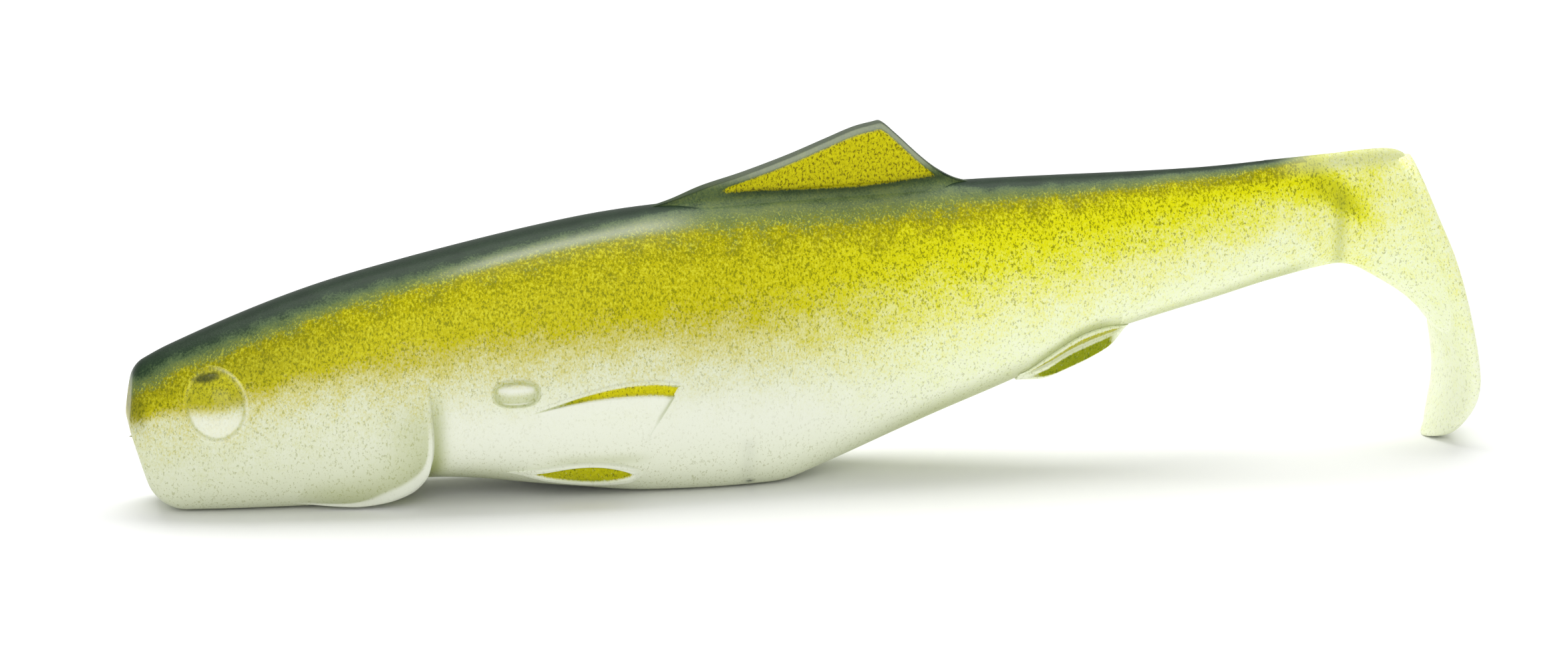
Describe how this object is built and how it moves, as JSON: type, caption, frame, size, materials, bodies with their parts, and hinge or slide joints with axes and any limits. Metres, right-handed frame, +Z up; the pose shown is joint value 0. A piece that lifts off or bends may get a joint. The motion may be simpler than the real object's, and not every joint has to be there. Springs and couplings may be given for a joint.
{
  "type": "swimbait",
  "caption": "Soft-plastic paddle-tail swimbait: fish-shaped lure body with moulded fins, eyes and gill covers, flexing at its back fin, body, wrist, neck and paddle.",
  "frame": {"origin": "middle of the lure's box, on the surface that it stands on", "axes": "+X from the nose to the tail, +Y to the fish's right-hand side as modelled, +Z up through the back"},
  "size_m": [0.12, 0.0164, 0.0314],
  "materials": {
    "head_skin": "glossy translucent soft plastisol, airbrushed dark green over yellow over pearl white",
    "body_skin": "glossy translucent soft plastisol, airbrushed dark green over speckled yellow over pearl white",
    "fin_skin": "glossy soft plastisol, yellow paint in the fin recesses",
    "tail_skin": "glossy translucent soft plastisol, pale yellow with fine speckles",
    "eye_paint": "glossy moulded eye, yellow above and white below"
  },
  "bodies": {
    "trunk": {"head": "head_skin", "gill_cover_left": "head_skin", "gill_cover_right": "head_skin", "eye_left": "eye_paint", "eye_right": "eye_paint", "trunk": "body_skin", "side_boss_left": "body_skin", "side_boss_right": "body_skin", "pectoral_fin_left": "fin_skin", "pectoral_fin_right": "fin_skin", "pelvic_fin_left": "fin_skin", "pelvic_fin_right": "fin_skin"},
    "dorsal_fin": {"dorsal_fin": "fin_skin"},
    "rear_body": {"rear_body": "body_skin", "anal_fin": "fin_skin"},
    "tail_wrist": {"tail_wrist": "body_skin"},
    "tail_heel": {"tail_heel": "tail_skin"},
    "paddle_blade": {"paddle_blade": "tail_skin"}
  },
  "joints": [
    {"name": "fin_flex", "type": "hinge", "parent": "trunk", "child": "dorsal_fin", "pos_m": [0.0004, 0, 0.0244], "axis": [1, 0, 0], "range_deg": [-15, 15], "stiffness_Nm_per_rad": 0.002},
    {"name": "body_flex", "type": "hinge", "parent": "trunk", "child": "rear_body", "pos_m": [0.02, 0, 0.017], "axis": [0, 0, 1], "range_deg": [-20, 20], "stiffness_Nm_per_rad": 0.03},
    {"name": "wrist_flex", "type": "hinge", "parent": "rear_body", "child": "tail_wrist", "pos_m": [0.0345, 0, 0.0195], "axis": [0, 0, 1], "range_deg": [-28, 28], "stiffness_Nm_per_rad": 0.012},
    {"name": "paddle_kick", "type": "hinge", "parent": "tail_wrist", "child": "tail_heel", "pos_m": [0.0473, 0, 0.0215], "axis": [0, 0, 1], "range_deg": [-45, 45], "stiffness_Nm_per_rad": 0.004},
    {"name": "blade_fold", "type": "hinge", "parent": "tail_heel", "child": "paddle_blade", "pos_m": [0.0579, 0, 0.0124], "axis": [0, 1, 0], "range_deg": [-40, 20], "stiffness_Nm_per_rad": 0.002}
  ]
}
